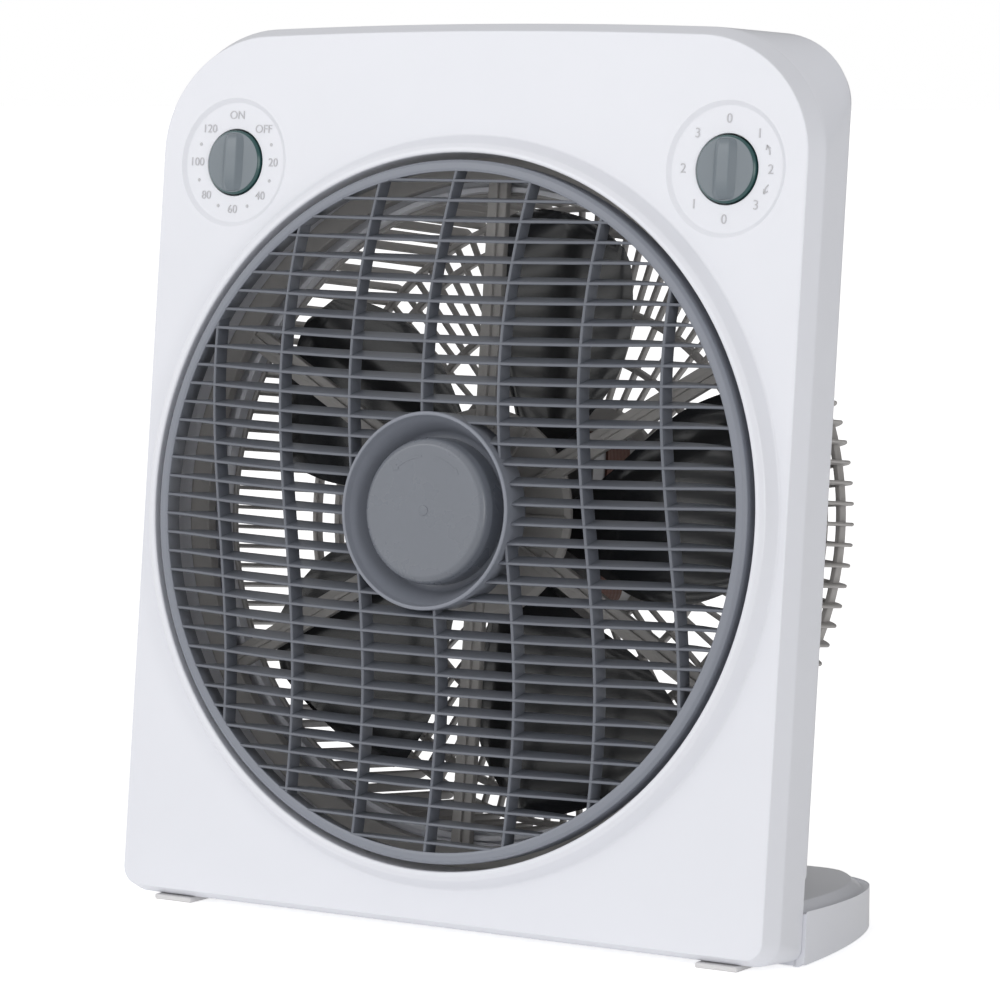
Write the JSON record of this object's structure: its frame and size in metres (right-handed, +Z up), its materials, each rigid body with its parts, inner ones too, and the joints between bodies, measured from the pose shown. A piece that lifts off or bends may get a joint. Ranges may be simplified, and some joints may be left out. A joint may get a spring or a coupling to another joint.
{
  "type": "box fan",
  "caption": "Box fan: leaning rounded housing on a low stand, rotating louvre grille, impeller, motor, rear guard, timer and speed dials.",
  "frame": {"origin": "middle of the footprint, on the floor", "axes": "+Z up, +Y from the grille towards the rear guard, +X to the right seen from the front"},
  "size_m": [0.373, 0.1626, 0.4271],
  "materials": {
    "housing_white": "smooth satin-gloss white plastic",
    "guard_grey": "light grey moulded plastic",
    "bracket_white": "off-white moulded plastic",
    "grille_grey": "mid grey satin plastic",
    "knob_grey": "blue-grey satin plastic",
    "impeller_black": "glossy near-black plastic",
    "stator_core": "brown varnished laminations",
    "motor_bell": "die-cast satin",
    "winding_copper": "enamelled copper wire",
    "bearing_bronze": "sintered bronze",
    "foot_rubber": "light grey rubber",
    "nylon_white": "natural nylon",
    "electric_black": "black moulded plastic",
    "steel_parts": "zinc plated"
  },
  "bodies": {
    "housing": {"front_shell": "housing_white", "rear_shell": "housing_white", "rear_guard": "guard_grey", "grille_bracket": "bracket_white", "grille_spindle": "steel_parts", "grille_washer": "steel_parts", "timer_unit": "electric_black", "speed_switch": "electric_black", "stator_core": "stator_core", "front_winding": "winding_copper", "rear_winding": "winding_copper", "front_bell": "motor_bell", "rear_bell": "motor_bell", "front_bearing": "bearing_bronze", "rear_bearing": "bearing_bronze", "motor_bolt_1": "steel_parts", "motor_nut_1": "steel_parts", "motor_bolt_2": "steel_parts", "motor_nut_2": "steel_parts", "motor_bolt_3": "steel_parts", "motor_nut_3": "steel_parts", "motor_bolt_4": "steel_parts", "motor_nut_4": "steel_parts", "run_capacitor": "electric_black", "terminal_block": "nylon_white", "cord_gland": "electric_black", "case_screw_1": "steel_parts", "case_screw_2": "steel_parts", "case_screw_3": "steel_parts", "case_screw_4": "steel_parts", "case_screw_5": "steel_parts", "case_screw_6": "steel_parts", "guard_screw_1": "steel_parts", "guard_screw_2": "steel_parts", "guard_screw_3": "steel_parts", "guard_screw_4": "steel_parts", "stand_base": "housing_white", "front_foot_left": "foot_rubber", "front_foot_right": "foot_rubber", "rear_foot_left": "foot_rubber", "rear_foot_right": "foot_rubber"},
    "grille": {"swing_grille": "grille_grey", "grille_bush": "nylon_white"},
    "lock_cap": {"grille_lock_cap": "grille_grey"},
    "rotor": {"impeller": "impeller_black", "impeller_nut": "impeller_black", "motor_shaft": "steel_parts", "shaft_pin": "steel_parts", "rotor_core": "steel_parts"},
    "timer_dial": {"timer_knob": "knob_grey", "timer_shaft": "nylon_white"},
    "speed_dial": {"speed_knob": "knob_grey", "switch_shaft": "nylon_white"}
  },
  "joints": [
    {"name": "grille_spin", "type": "hinge", "parent": "housing", "child": "grille", "pos_m": [0, -0.05358, 0.19888], "axis": [0, -0.9944, 0.1057], "continuous": true},
    {"name": "lock_cap_turn", "type": "hinge", "parent": "housing", "child": "lock_cap", "pos_m": [0, -0.0685, 0.20046], "axis": [0, -0.9944, 0.1057], "range_deg": [0, 120]},
    {"name": "impeller_spin", "type": "hinge", "parent": "housing", "child": "rotor", "pos_m": [0, -0.00386, 0.19359], "axis": [0, -0.9944, 0.1057], "continuous": true},
    {"name": "timer_turn", "type": "hinge", "parent": "housing", "child": "timer_dial", "pos_m": [-0.1383, -0.03635, 0.36087], "axis": [0, -0.9944, 0.1057], "range_deg": [-315, 0]},
    {"name": "speed_turn", "type": "hinge", "parent": "housing", "child": "speed_dial", "pos_m": [0.1383, -0.03635, 0.36087], "axis": [0, -0.9944, 0.1057], "continuous": true}
  ]
}
